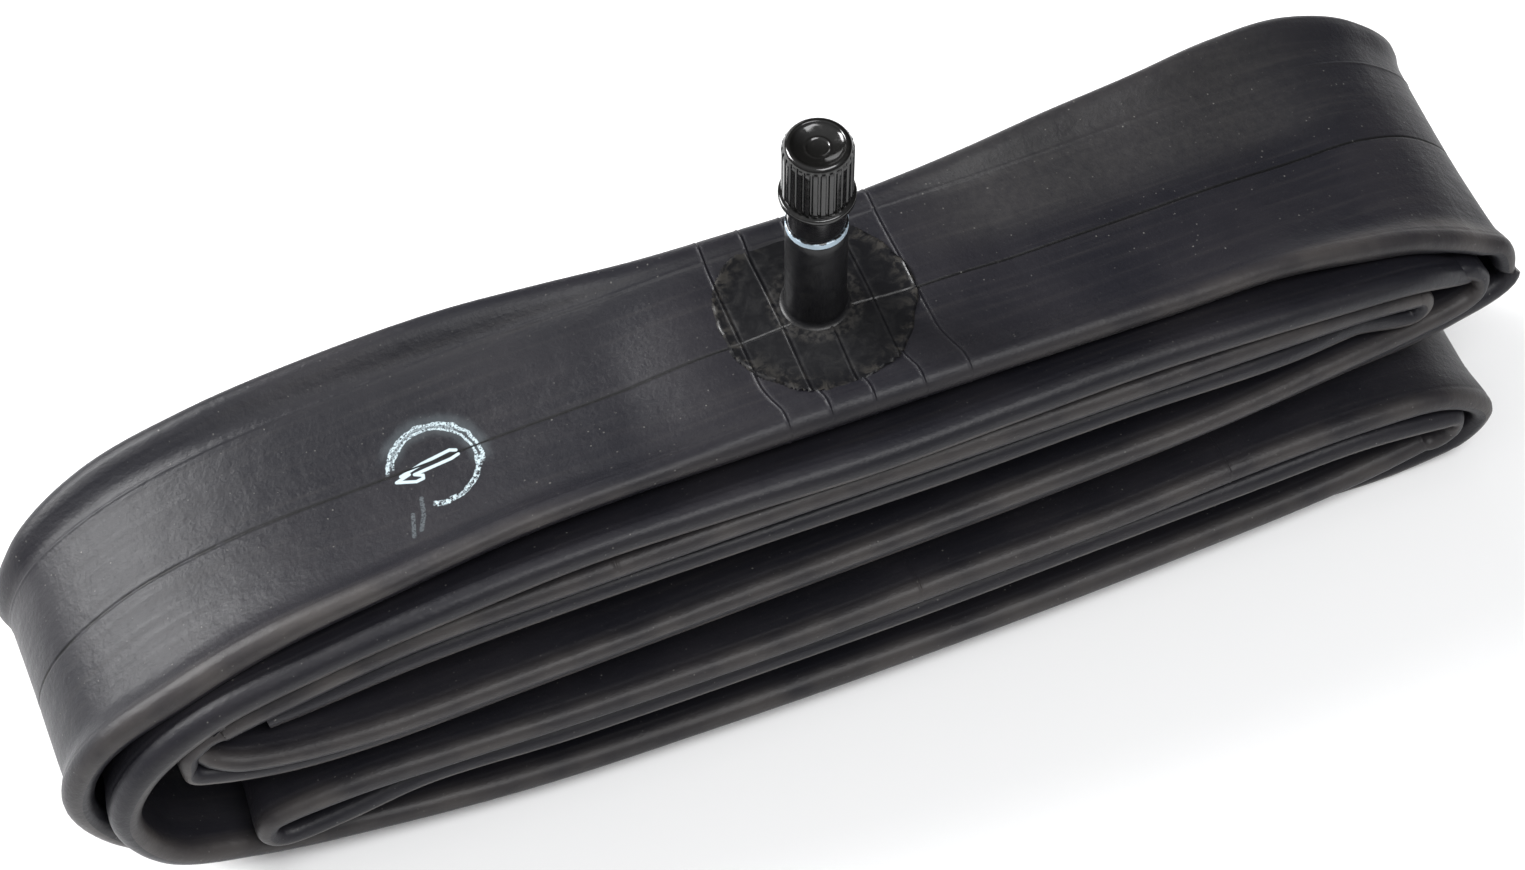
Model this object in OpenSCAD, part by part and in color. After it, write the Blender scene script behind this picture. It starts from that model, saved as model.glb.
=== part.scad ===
// Bicycle inner tube with a rubber-covered car-type valve, pressed flat and folded
// into a pack of ten laps. Millimetres, +Z up the valve, laps run along X.
// The pack lies on Z = 0 and the origin is the middle of its footprint.

/* [Tube] */
// Flat width of the tube across the laps, apart from the top lap's own widths
tube_w = 38; // [37:0.5:39]
// Thickness of the rubber wall
wall = 0.9; // [0.8:0.05:0.95]
// Thickness of the film of air left between the two walls
air_film = 1.0; // [0.6:0.1:1]
// How far the edges of a lap taper to a point
edge_taper = 0.8; // [0.4:0.1:1.2]
// Diameter of the air hole under the valve
air_hole_d = 3.6; // [3:0.1:3.8]

/* [Valve] */
// Valve axis, measured along X from the middle of the pack
valve_x = 6.5; // [5:0.5:8]
// Valve axis, measured along Y from the middle of the pack
valve_y = -0.4; // [-1:0.1:0.5]
// Diameter of the rubber pad that joins the valve to the tube
pad_d = 28; // [24:1:32]
// Diameter of the rubber sleeve on the stem
stem_d = 8.3; // [8:0.1:8.5]
// Height of the rubber sleeve above the tube
stem_h = 18.6; // [17:0.1:20]
// Height of the bare metal ring on top of the rubber
ring_h = 1.1; // [0.8:0.1:1.4]
// Height of the smooth metal neck between the ring and the thread
neck_h = 5.0; // [4:0.1:6]
// Major diameter of the outer valve thread, drawn without its groove
thread_d = 7.7; // [7.6:0.05:7.8]
// Length of the outer valve thread
thread_h = 7.6; // [7:0.1:9]

/* [Valve core] */
// Major diameter of the thread on the core's screw plug
core_thread_d = 5.2; // [5.1:0.05:5.25]
// Diameter of the pin that opens the core
pin_d = 1.1; // [1:0.05:1.2]
// Wire diameter of the core spring
spring_wire = 0.3; // [0.25:0.05:0.35]
// Number of turns of the core spring
spring_turns = 7; // [5:1:8]

/* [Cap] */
// Diameter of the lip at the foot of the cap
cap_d = 10.2; // [9.4:0.1:10.5]
// Height of the cap
cap_h = 11.1; // [10:0.1:12]
// Number of grip ribs round the cap
cap_ribs = 28; // [20:1:36]
// Depth of the dished top
dish = 1.1; // [0.6:0.1:1.2]

/* [Hidden] */
$fn = 64;
eps = 0.01;

// A lap is two walls and the film of air between them.
lap_t = 2 * wall + air_film;
// Distance from the valve to the edge of the tube on the -Y side, where nothing is shifted
near_edge = 17.75;
low = 1.4;
top = 58.5;
tube_top = top + lap_t / 2;

// A tight turn from one lap into the next: half a circle about [x, z].
// side is 1 at the right end and -1 at the left, start is 1 when it comes in on top,
// and the sideways shift goes evenly from s0 to s1.
function turn(x, z, r, side, start, s0, s1) = [
    for (i = [0:4]) [
        x + side * r * sin(45 * i), z + start * r * cos(45 * i), s0 + (s1 - s0) * i / 4
    ]
];

// The closed route of the flat tube through all ten laps and their turns.
// Each point is [x from the valve, height, sideways shift towards -Y], and in lap 1 it
// ends with the tube's width there, which the pressing has spread in some places. The
// first two points are level and lie on either side of the valve.
LAP_1_RIGHT = [
    [-8, top, 0, 33.5], [8, top, 0, 33.3], [20, top, 0, 34], [33, top, 0, 35.3],
    [46, 57.5, -0.5, 37], [60, 56, -1.5, 38.3], [73, 52.5, -2, 41.3], [84, 48.5, -2.5, 43.3],
    [93, 43.5, -2.5, 43.3], [98.5, 37.5, -2, 42], [97, 31.5, -1.5, 41]
];
UNDER_LAPS = concat(
    // lap 6, to the left
    [[88, 29.5, -0.5], [72, 30.5, 1.5], [50, 30.5, 3.5], [25, 30, 4.5], [0, 29.5, 5]],
    [[-25, 29, 5.5], [-50, 28.5, 6], [-72, 28.3, 6.5], [-84, 28.5, 6]],
    turn(-92.5, 34.1, 3.7, -1, -1, 5.5, 4),
    // lap 3, to the right
    [[-82, 41, 4], [-65, 45.5, 4.5], [-40, 48.5, 5.5], [-15, 50, 6], [10, 50, 6]],
    [[35, 49.5, 5.5], [58, 48, 4.5], [72, 44.5, 2.5]],
    turn(82.5, 38.6, 2.1, 1, 1, 1, 1),
    // lap 4, to the left
    [[72, 40, 1.5], [58, 43.5, 4.5], [35, 45.5, 5.5], [10, 45.5, 6], [-15, 45.5, 6]],
    [[-40, 44.5, 5.5], [-65, 41.5, 4.5], [-80, 37.5, 3.5]],
    turn(-87.5, 34.2, 1.9, -1, 1, 3.5, 6),
    // lap 5, to the right
    [[-74, 32.5, 8], [-50, 33, 8], [-25, 33.5, 7.5], [0, 34, 7], [25, 34.5, 6.5]],
    [[50, 34.5, 5.5], [72, 34, 3], [84, 33, 1]],
    turn(90.7, 36.6, 3.3, 1, -1, 0, -1),
    // lap 2, to the left
    [[82, 45.5, 1.5], [71, 49, 3], [56, 52.5, 4.5], [38, 54, 5], [18, 54, 5.5], [0, 54, 6]],
    [[-20, 54, 5.5], [-40, 53.5, 5], [-58, 51.5, 5], [-76, 47.5, 4.5], [-92.5, 42.5, 4.5]],
    [[-103, 34.5, 5], [-106.5, 25.5, 5.5], [-102, 14.5, 6]],
    // lap 9, to the right
    [[-90, 8.5, 6], [-72, 6, 7], [-50, 5.5, 8.5], [-25, 5.5, 9], [0, 5.5, 9]],
    [[25, 5.5, 8.5], [50, 5.5, 7.5], [68, 5.5, 6.5], [79, 6.5, 6]],
    turn(87, 12.2, 3.3, 1, -1, 6, 7),
    // lap 8, to the left
    [[74, 18, 7.5], [55, 18, 8], [30, 17.5, 8.5], [5, 17, 9], [-20, 16.5, 9]],
    [[-45, 16.5, 9], [-66, 16, 8], [-78, 13.5, 8]],
    turn(-86, 15.5, 3, -1, -1, 8, 8),
    // lap 7, to the right
    [[-76, 20.5, 8.5], [-62, 21, 9], [-40, 21, 9.5], [-15, 21, 9.5], [10, 21.5, 9]],
    [[35, 22, 8.5], [58, 22.5, 7.5], [76, 22, 7], [88, 19.5, 6.5], [95, 13, 6], [93, 5.5, 5]],
    // lap 10, underneath, to the left
    [[84, 2, 4.5], [65, low, 4], [40, low, 4], [15, low, 4], [-10, low, 4], [-35, low, 4]],
    [[-60, low, 3.5], [-82, 2.5, 3], [-98, 7.5, 2], [-108, 16.5, 1.5]]
);
LAP_1_LEFT = [
    [-111.5, 26.5, 1, 36.5], [-108, 36.5, 1, 37], [-97, 44, 1, 40], [-83, 50, 0.5, 39.3],
    [-66, 54.5, 0.5, 38.4], [-48, 57.5, 0, 36.6], [-33, top, 0, 35], [-20, top, 0, 33.9]
];
ROUTE = concat(LAP_1_RIGHT, [for (p = UNDER_LAPS) concat(p, tube_w)], LAP_1_LEFT);
POINTS = len(ROUTE);

// A smooth closed curve through the route: each step is a cubic whose end slopes
// come from the points on either side, weighted by the root of their distance.
function at(i) = ROUTE[(i + POINTS) % POINTS];
function gap(i) = sqrt(norm(at(i + 1) - at(i)));
function slope(i) =
    let (a = gap(i - 1), b = gap(i))
    (at(i) - at(i - 1)) / a - (at(i + 1) - at(i - 1)) / (a + b) + (at(i + 1) - at(i)) / b;
function cubic(i, t) =
    at(i) * (2 * t * t * t - 3 * t * t + 1) + slope(i) * gap(i) * (t * t * t - 2 * t * t + t)
    + at(i + 1) * (3 * t * t - 2 * t * t * t) + slope(i + 1) * gap(i) * (t * t * t - t * t);
// Every step is cut in two, except the level one under the valve.
ROUTE_STEPS = [
    for (i = [0:POINTS - 1]) for (t = (i == 0 ? [0] : [0, 0.5])) cubic(i, t)
];
// The middle of the tube at each ring, and its width there.
PATH = [
    for (p = ROUTE_STEPS) [p[0], p[3] / 2 - near_edge - p[2], max(p[1], low)]
];
WIDTH = [for (p = ROUTE_STEPS) p[3]];
RINGS = len(PATH);

// One ring of the swept tube, set square to the path. Each point of the outline is
// [side, in, through]: the edge on that side, how far in from it, and how far up.
function unit(v) = v / norm(v);
function ring(i, outline) =
    let (
        along = unit(PATH[(i + 1) % RINGS] - PATH[(i + RINGS - 1) % RINGS]),
        through = unit(cross(along, [0, 1, 0])),
        across = cross(through, along)
    )
    [for (q = outline) PATH[i] + across * q[0] * (WIDTH[i] / 2 - q[1]) + through * q[2]];

// The faces of a closed sweep whose outline has n points, the first of them numbered
// from. The face over the valve's step, which starts at the outline's last point but
// one, is left out.
function sweep_faces(n, from) = [
    for (i = [0:RINGS - 1]) for (j = [0:n - 1])
        let (
            a = from + i * n,
            b = from + ((i + 1) % RINGS) * n,
            k = (j + 1) % n
        )
        if (i > 0 || j != n - 2) each [[a + j, b + j, b + k], [a + j, b + k, a + k]]
];

// The face over the valve's step, with the round hole in it: four corners, counted
// the same way round as the hole's points, each fanned out to a quarter of the hole.
function holed_face(corners, hole) =
    let (q = len(hole) / 4)
    [
        for (c = [0:3]) each concat(
            [for (k = [0:q - 1]) [corners[c], hole[c * q + k], hole[(c * q + k + 1) % (4 * q)]]],
            [[corners[c], hole[((c + 1) * q) % (4 * q)], corners[(c + 1) % 4]]]
        )
    ];
function reversed(faces) = [for (f = faces) [f[2], f[1], f[0]]];

// Levels of the valve above the tube's upper face.
pad_t = 1.3;
pad_rim = 0.5;
fillet_top = 2.6;
insert_foot = 0.5;
foot_r = 6;
foot_t = 0.4;
body_r = 3.3;
ring_top = stem_h + ring_h;
neck_top = ring_top + neck_h;
mouth = neck_top + thread_h;
neck_r = 3.9;
thread_r = thread_d / 2;
bore_r = core_thread_d / 2 + 0.07;
lower_bore_r = 1.95;
seat_top = mouth - 6.2;
seat_low = mouth - 7.6;

// Levels of the valve core, below the mouth of the stem.
screw_top = mouth - 0.9;
screw_shoulder = mouth - 2.1;
screw_low = mouth - 4.8;
barrel_top = mouth - 3.2;
barrel_neck = screw_low - 0.05;
groove_top = mouth - 5.8;
groove_low = mouth - 7.4;
barrel_low = mouth - 15.2;
spring_seat = barrel_low + 1.2;
spring_top = spring_seat + 6.2;
pin_top = mouth - 0.3;
pin_low = barrel_low - 2.6;
pin_r = pin_d / 2;
pin_hole_r = pin_r + 0.2;
swivel_r = 1.2;
swivel_play = 0.08;
barrel_r = 1.7;
barrel_bore_r = 1.2;
groove_r = 1.5;

// Radius of the cone in the stem that the core's seal sits on.
function seat_r(z) =
    lower_bore_r + (bore_r - lower_bore_r) * (z - seat_low) / (seat_top - seat_low);

// Levels of the cap: its foot rests on the top of the neck with a little room.
cap_low = neck_top + 0.3;
cap_top = cap_low + cap_h;
liner_t = 0.8;
liner_low = mouth + 0.05;
liner_top = liner_low + liner_t;

module on_valve() {
    translate([valve_x, valve_y, tube_top]) children();
}

// A turned piece with its side outline given as [radius, height] points.
module turned(outline) {
    rotate_extrude() polygon(outline);
}

// A straight-sided bore or disc between two heights.
module round(r, z0, z1) {
    translate([0, 0, z0]) cylinder(r = r, h = z1 - z0);
}

// The outside of the flat tube and the film of air inside it are one closed surface,
// joined round the air hole under the valve.
module tube() {
    hole_sides = 16;
    t = lap_t / 2;
    f = air_film / 2;
    inner = wall + edge_taper / 2;
    outside = [
        [-1, 0, 0], [-1, edge_taper, -t], [1, edge_taper, -t],
        [1, 0, 0], [1, edge_taper, t], [-1, edge_taper, t]
    ];
    inside = [[-1, inner, -f], [1, inner, -f], [1, inner, f], [-1, inner, f]];
    n = len(outside);
    m = len(inside);
    inner_from = RINGS * n;
    rim_from = RINGS * (n + m);
    rims = [
        for (z = [top + t, top + f]) for (k = [0:hole_sides - 1])
            let (a = 45 + 360 * k / hole_sides)
            [air_hole_d / 2 * cos(a), air_hole_d / 2 * sin(a), z]
    ];
    upper_rim = [for (k = [0:hole_sides - 1]) rim_from + k];
    lower_rim = [for (k = upper_rim) k + hole_sides];
    hole_wall = [
        for (k = [0:hole_sides - 1])
            let (next = (k + 1) % hole_sides)
            each [
                [upper_rim[k], lower_rim[k], lower_rim[next]],
                [upper_rim[k], lower_rim[next], upper_rim[next]]
            ]
    ];
    // corners of the two faces that the hole goes through, from +X +Y round to +X -Y
    outer_corners = [n + n - 2, n - 2, n - 1, n + n - 1];
    inner_corners = [for (c = [m + m - 2, m - 2, m - 1, m + m - 1]) inner_from + c];
    color("#2b2b2e")
    translate([valve_x, valve_y, 0]) polyhedron(
        points = concat(
            [for (i = [0:RINGS - 1]) each ring(i, outside)],
            [for (i = [0:RINGS - 1]) each ring(i, inside)],
            rims
        ),
        faces = concat(
            sweep_faces(n, 0), holed_face(outer_corners, upper_rim),
            reversed(sweep_faces(m, inner_from)),
            reversed(holed_face(inner_corners, lower_rim)), hole_wall
        )
    );
}

module valve_base() {
    fillet_r = fillet_top - pad_t;
    color("#232325")
    on_valve() difference() {
        union() {
            turned(concat(
                [[0, 0], [pad_d / 2, 0], [pad_d / 2, pad_rim - 0.2], [pad_d / 2 - 1.5, pad_rim + 0.3]],
                [for (a = [0:10:90]) [
                    stem_d / 2 + fillet_r * (1 - sin(a)), fillet_top - fillet_r * cos(a)
                ]],
                [[0, fillet_top]]
            ));
            round(stem_d / 2, fillet_top - eps, stem_h);
        }
        round(air_hole_d / 2, -1, insert_foot + eps);
        round(foot_r, insert_foot, insert_foot + foot_t);
        round(body_r, insert_foot, stem_h + 1);
    }
}

module stem_insert() {
    color("#b08d3c")
    on_valve() difference() {
        turned([
            [0, insert_foot], [foot_r, insert_foot], [foot_r, insert_foot + foot_t],
            [body_r, insert_foot + foot_t], [body_r, stem_h], [stem_d / 2, stem_h],
            [stem_d / 2, ring_top], [neck_r, ring_top], [neck_r, neck_top],
            [thread_r, neck_top], [thread_r, mouth - 0.6], [thread_r - 0.5, mouth], [0, mouth]
        ]);
        round(lower_bore_r, 0, mouth);
        round(bore_r, seat_top, mouth + 1);
        turned([[0, seat_low], [lower_bore_r, seat_low], [bore_r, seat_top], [0, seat_top]]);
        turned([[0, mouth - 0.4], [bore_r, mouth - 0.4], [bore_r + 0.4, mouth], [0, mouth]]);
    }
}

// The threaded plug that holds the core down, with two flats for the core tool.
module core_screw() {
    flats = 2.6;
    color("#d0a94e")
    on_valve() difference() {
        union() {
            round(core_thread_d / 2, screw_low, screw_shoulder);
            intersection() {
                round(core_thread_d / 2 - 0.25, screw_shoulder - eps, screw_top);
                translate([-core_thread_d / 2, -flats / 2, 0]) cube([core_thread_d, flats, mouth]);
            }
        }
        round(pin_hole_r, screw_low - 1, mouth);
        round(swivel_r + swivel_play, screw_low - 1, barrel_top + 0.2);
    }
}

module core_barrel() {
    color("#c9a24a")
    on_valve() difference() {
        turned([
            [0, barrel_low], [barrel_r, barrel_low], [barrel_r, groove_low - 0.3],
            [1.85, groove_low - 0.3], [1.85, groove_low], [groove_r, groove_low],
            [groove_r, groove_top], [2.3, groove_top], [2.3, barrel_neck],
            [swivel_r, barrel_neck], [swivel_r, barrel_top], [0, barrel_top]
        ]);
        round(pin_hole_r, barrel_low - 1, mouth);
        round(barrel_bore_r, spring_seat, barrel_neck - 0.8);
    }
}

// The soft cone that seals the core against the seat in the stem.
module core_barrel_seal() {
    low_z = groove_low + 0.05;
    high_z = groove_top - 0.05;
    shoulder_z = seat_top - 0.3;
    play = 0.03;
    color("#b8322a")
    on_valve() turned([
        [groove_r, low_z], [seat_r(low_z) - play, low_z], [seat_r(shoulder_z) - play, shoulder_z],
        [seat_r(shoulder_z) - play, high_z], [groove_r, high_z]
    ]);
}

module core_pin() {
    head_r = 1.0;
    color("#d8c07a")
    on_valve() union() {
        round(pin_r, pin_low, pin_top);
        round(head_r, pin_low, pin_low + 0.4);
    }
}

// A round wire wound about the pin, standing on the shoulder in the barrel.
module core_spring() {
    wire_sides = 6;
    turn_steps = 12;
    coil_r = 0.88;
    steps = spring_turns * turn_steps;
    z0 = spring_seat + spring_wire / 2;
    rise = (spring_top - spring_seat - spring_wire) / steps;
    points = [
        for (i = [0:steps]) for (j = [0:wire_sides - 1])
            let (
                a = 360 * i / turn_steps,
                b = 360 * j / wire_sides,
                r = coil_r + spring_wire / 2 * cos(b)
            )
            [r * cos(a), r * sin(a), z0 + rise * i + spring_wire / 2 * sin(b)]
    ];
    sides = [
        for (i = [0:steps - 1]) for (j = [0:wire_sides - 1])
            let (a = i * wire_sides, b = a + wire_sides, k = (j + 1) % wire_sides)
            each [[a + j, b + j, b + k], [a + j, b + k, a + k]]
    ];
    first_end = [for (j = [0:wire_sides - 1]) j];
    last_end = [for (j = [wire_sides - 1:-1:0]) steps * wire_sides + j];
    color("#cfd2d6")
    on_valve() polyhedron(points = points, faces = concat(sides, [first_end, last_end]));
}

// The collar swaged on the pin, which the spring pushes up.
module core_spring_cup() {
    color("#cdb56c")
    on_valve() difference() {
        round(1.05, spring_top + 0.02, spring_top + 0.8);
        round(pin_r, spring_top - 1, spring_top + 2);
    }
}

// The cup at the foot of the pin, and the rubber ring that it carries.
module core_seat_cup() {
    color("#cdb56c")
    on_valve() difference() {
        round(1.65, pin_low + 0.4, barrel_low - 0.6);
        round(pin_r, pin_low - 1, barrel_low);
        round(1.4, barrel_low - 1.4, barrel_low);
    }
}

module core_seat_seal() {
    color("#1d1d1d")
    on_valve() difference() {
        round(1.4, barrel_low - 1.4, barrel_low);
        round(pin_r, pin_low, barrel_low + 1);
    }
}

module cap() {
    lip_h = 1.1;
    rib_top = cap_h - 1.3;
    lip_bevel = 0.15;
    rib_r = cap_d / 2 - 0.42;
    rib_depth = 0.18;
    top_r = cap_d / 2 - 0.66;
    rim_r = 0.8;
    rib_angle = 360 / cap_ribs;
    dish_r = top_r - rim_r;
    color("#161617")
    on_valve() translate([0, 0, cap_low]) difference() {
        union() {
            turned([
                [0, 0], [cap_d / 2 - 0.4, 0], [cap_d / 2, 0.5], [cap_d / 2, lip_h - lip_bevel],
                [cap_d / 2 - lip_bevel, lip_h], [0, lip_h]
            ]);
            linear_extrude(rib_top) polygon([
                for (i = [0:cap_ribs - 1]) each [
                    for (q = [[-0.22, 0], [0.22, 0], [0.32, 1], [0.68, 1]])
                        (rib_r - rib_depth * q[1]) * [cos((i + q[0]) * rib_angle), sin((i + q[0]) * rib_angle)]
                ]
            ]);
            turned(concat(
                [[0, rib_top - 0.6], [top_r, rib_top - 0.6]],
                [for (a = [0:15:90]) [dish_r + rim_r * cos(a), cap_h - rim_r + rim_r * sin(a)]],
                [for (k = [0.8:-0.2:0]) [dish_r * k, cap_h - dish * (1 - k * k)]]
            ));
        }
        round(thread_r + 0.08, -1, liner_top - cap_low);
    }
}

// The soft washer in the roof of the cap, which closes on the mouth of the stem.
module cap_liner() {
    color("#3a3a3c")
    on_valve() difference() {
        round(thread_r - 0.15, liner_low, liner_top - 0.02);
        round(1.3, liner_low - 1, liner_top + 1);
    }
}

tube();
valve_base();
stem_insert();
core_screw();
core_barrel();
core_barrel_seal();
core_pin();
core_spring();
core_spring_cup();
core_seat_cup();
core_seat_seal();
cap();
cap_liner();
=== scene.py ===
"""Looks for the folded bicycle inner tube: the rubber skin, the valve and its cap, and the studio.

Lengths in this file are in millimetres from the valve's axis, with z up from the floor, and become
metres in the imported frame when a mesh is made.
"""

import math

import bmesh
import bpy
import numpy as np
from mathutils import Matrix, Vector


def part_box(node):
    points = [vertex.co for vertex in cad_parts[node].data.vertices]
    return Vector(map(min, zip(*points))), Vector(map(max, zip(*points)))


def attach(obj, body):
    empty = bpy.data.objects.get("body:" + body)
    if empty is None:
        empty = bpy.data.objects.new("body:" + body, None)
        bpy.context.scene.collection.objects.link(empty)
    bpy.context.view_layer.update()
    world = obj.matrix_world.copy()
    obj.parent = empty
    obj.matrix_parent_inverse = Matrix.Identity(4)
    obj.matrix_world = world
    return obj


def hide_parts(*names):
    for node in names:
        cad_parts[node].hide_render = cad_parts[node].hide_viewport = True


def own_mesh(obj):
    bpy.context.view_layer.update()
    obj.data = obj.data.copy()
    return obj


MM = 0.001

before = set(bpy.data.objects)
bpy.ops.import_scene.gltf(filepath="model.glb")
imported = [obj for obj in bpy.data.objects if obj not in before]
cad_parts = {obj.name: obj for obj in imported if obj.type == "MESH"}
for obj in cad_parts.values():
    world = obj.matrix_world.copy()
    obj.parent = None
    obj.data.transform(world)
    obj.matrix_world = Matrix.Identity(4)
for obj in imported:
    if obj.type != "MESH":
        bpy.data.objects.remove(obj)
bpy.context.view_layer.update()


def box_mm(node):
    """A CAD node's lowest and highest corners, in millimetres in the frame."""
    low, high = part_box(node)
    return np.array(low) / MM, np.array(high) / MM


CAP_LOW, CAP_HIGH = box_mm("cap")
_, STEM_HIGH = box_mm("stem_insert")
PAD_LOW, PAD_HIGH = box_mm("valve_base")
VALVE = np.array([(CAP_LOW[0] + CAP_HIGH[0]) / 2, (CAP_LOW[1] + CAP_HIGH[1]) / 2, 0.0])
TUBE_TOP = PAD_LOW[2]
SLEEVE_TOP = PAD_HIGH[2]
MOUTH = STEM_HIGH[2]
CAP_R = (CAP_HIGH[0] - CAP_LOW[0]) / 2
PAD_R = (PAD_HIGH[0] - PAD_LOW[0]) / 2
# the stem: radii of its sleeve, neck and thread, and the thread's pitch
STEM_R = 4.15
NECK_R = 3.9
THREAD_R = 3.85
PITCH = 25.4 / 32

# ---------------------------------------------------------------- the fold

TOP = 58.5
LOW = 1.4
TUBE_W = 38.0
NEAR_EDGE = 17.75


def turn(x, z, r, side, start, s0, s1):
    """A tight turn from one lap into the next: half a circle about (x, z), as in the CAD."""
    points = []
    for i in range(5):
        a = math.radians(45 * i)
        shift = s0 + (s1 - s0) * i / 4
        points.append((x + side * r * math.sin(a), z + start * r * math.cos(a), shift))
    return points


# The route of the flat tube through its laps, the same points as in the CAD, each (x, height,
# sideways shift towards -Y) and in lap 1 the width there. Each stretch has the radius of the
# rounded edges of the tube there and how far its middle sags, as a share of lap 1's.
ROUTE = [
    # lap 1, on top, from the valve to the right
    (2.2, 1.0, [(-8, TOP, 0, 33.5), (8, TOP, 0, 33.3), (20, TOP, 0, 34), (33, TOP, 0, 35.3)]),
    (2.0, 1.0, [(46, 57.5, -0.5, 37), (60, 56, -1.5, 38.3), (73, 52.5, -2, 41.3)]),
    (1.85, 1.0, [(84, 48.5, -2.5, 43.3), (93, 43.5, -2.5, 43.3), (98.5, 37.5, -2, 42), (97, 31.5, -1.5, 41)]),
    # lap 6, to the left
    (1.8, 0.05, [(88, 29.5, -0.5), (72, 30.5, 1.5), (50, 30.5, 3.5), (25, 30, 4.5), (0, 29.5, 5)]),
    (1.8, 0.05, [(-25, 29, 5.5), (-50, 28.5, 6), (-72, 28.3, 6.5), (-84, 28.5, 6)]),
    (1.55, 0.0, turn(-92.5, 34.1, 3.7, -1, -1, 5.5, 4)),
    # lap 3, to the right
    (1.8, 0.6, [(-82, 41, 4), (-65, 45.5, 4.5), (-40, 48.5, 5.5), (-15, 50, 6), (10, 50, 6)]),
    (1.7, 0.5, [(35, 49.5, 5.5), (58, 48, 4.5), (72, 44.5, 2.5)]),
    (1.5, 0.0, turn(82.5, 38.6, 2.1, 1, 1, 1, 1)),
    # lap 4, to the left
    (1.75, 0.4, [(72, 40, 1.5), (58, 43.5, 4.5), (35, 45.5, 5.5), (10, 45.5, 6), (-15, 45.5, 6)]),
    (1.75, 0.4, [(-40, 44.5, 5.5), (-65, 41.5, 4.5), (-80, 37.5, 3.5)]),
    (1.5, 0.0, turn(-87.5, 34.2, 1.9, -1, 1, 3.5, 6)),
    # lap 5, to the right
    (1.6, 0.05, [(-74, 32.5, 8), (-50, 33, 8), (-25, 33.5, 7.5), (0, 34, 7), (25, 34.5, 6.5)]),
    (1.6, 0.05, [(50, 34.5, 5.5), (72, 34, 3), (84, 33, 1)]),
    (1.55, 0.0, turn(90.7, 36.6, 3.3, 1, -1, 0, -1)),
    # lap 2, to the left
    (1.9, 0.8, [(82, 45.5, 1.5), (71, 49, 3), (56, 52.5, 4.5)]),
    (2.15, 0.8, [(38, 54, 5), (18, 54, 5.5), (0, 54, 6), (-20, 54, 5.5), (-40, 53.5, 5)]),
    (2.2, 0.8, [(-58, 51.5, 5), (-76, 47.5, 4.5), (-92.5, 42.5, 4.5)]),
    (2.3, 0.0, [(-103, 34.5, 5), (-106.5, 25.5, 5.5)]),
    (1.7, 0.0, [(-102, 14.5, 6)]),
    # lap 9, to the right
    (2.0, 0.05, [(-90, 8.5, 6), (-72, 6, 7), (-50, 5.5, 8.5), (-25, 5.5, 9), (0, 5.5, 9)]),
    (2.0, 0.05, [(25, 5.5, 8.5), (50, 5.5, 7.5), (68, 5.5, 6.5), (79, 6.5, 6)]),
    (1.6, 0.0, turn(87, 12.2, 3.3, 1, -1, 6, 7)),
    # lap 8, to the left
    (1.8, 0.05, [(74, 18, 7.5), (55, 18, 8), (30, 17.5, 8.5), (5, 17, 9), (-20, 16.5, 9)]),
    (1.7, 0.05, [(-45, 16.5, 9), (-66, 16, 8), (-78, 13.5, 8)]),
    (1.6, 0.0, turn(-86, 15.5, 3, -1, -1, 8, 8)),
    # lap 7, to the right
    (1.75, 0.1, [(-76, 20.5, 8.5), (-62, 21, 9), (-40, 21, 9.5), (-15, 21, 9.5), (10, 21.5, 9)]),
    (1.75, 0.1, [(35, 22, 8.5), (58, 22.5, 7.5), (76, 22, 7), (88, 19.5, 6.5), (95, 13, 6), (93, 5.5, 5)]),
    # lap 10, underneath, to the left
    (1.4, 0.0, [(84, 2, 4.5), (65, LOW, 4), (40, LOW, 4), (15, LOW, 4), (-10, LOW, 4), (-35, LOW, 4)]),
    (1.4, 0.0, [(-60, LOW, 3.5), (-82, 2.5, 3), (-98, 7.5, 2)]),
    (1.7, 0.0, [(-108, 16.5, 1.5)]),
    # lap 1 again, back to the valve
    (2.3, 1.0, [(-111.5, 26.5, 1, 36.5), (-108, 36.5, 1, 37), (-97, 44, 1, 40), (-83, 50, 0.5, 39.3)]),
    (2.2, 1.0, [(-66, 54.5, 0.5, 38.4), (-48, 57.5, 0, 36.6), (-33, TOP, 0, 35), (-20, TOP, 0, 33.9)]),
]

# How far the middle of lap 1 sags between its edges, as (x, depth).
SAG_X = [-98, -80, -65, -50, -32, -17, -10, 14, 37, 60, 72, 91]
SAG = [0, 1.8, 3.6, 3.9, 2.5, 1.1, 0, 0, 1.6, 3.0, 3.1, 0]
# The laps under it also sag beneath the valve.
UNDER_SAG_X = [-98, -72, -48, -10, 20, 60, 91]
UNDER_SAG = [0, 3.2, 4.6, 2.4, 1.6, 2.8, 0]

# Ribs that the mould left right round the tube by the valve, and single ones elsewhere, each
# (x, height) of the nearest point of the route.
VALVE_RIBS = [-11.6, -5.6, 0.5, 7.3, 13.5]
LONE_RIBS = [(-37, 48.8), (5, 21.4), (52, 22.4), (98, 33), (-83, 2.7)]
# spacing of the skin's rings of points along the laps, and in their tight turns
STEP = 1.2
TURN_STEP = 0.45
# where points lie beside a rib
RIB_OFFSETS = [-0.5, -0.22, -0.1, 0.0, 0.1, 0.21, 0.32, 0.45, 0.7]
# places of the two mould lines across the tube
SEAM = -1.3
SECOND_LINE = 12.6
# half the flat tube's thickness between its edges, and under the pad
WEB_HALF = 1.0
PAD_WEB_HALF = 1.4
# distance along the ring from its first point to the valve
START_TO_VALVE = 8.0


def smooth(t):
    """0 to 1 with level ends."""
    t = np.clip(t, 0, 1)
    return t * t * (3 - 2 * t)


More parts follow.
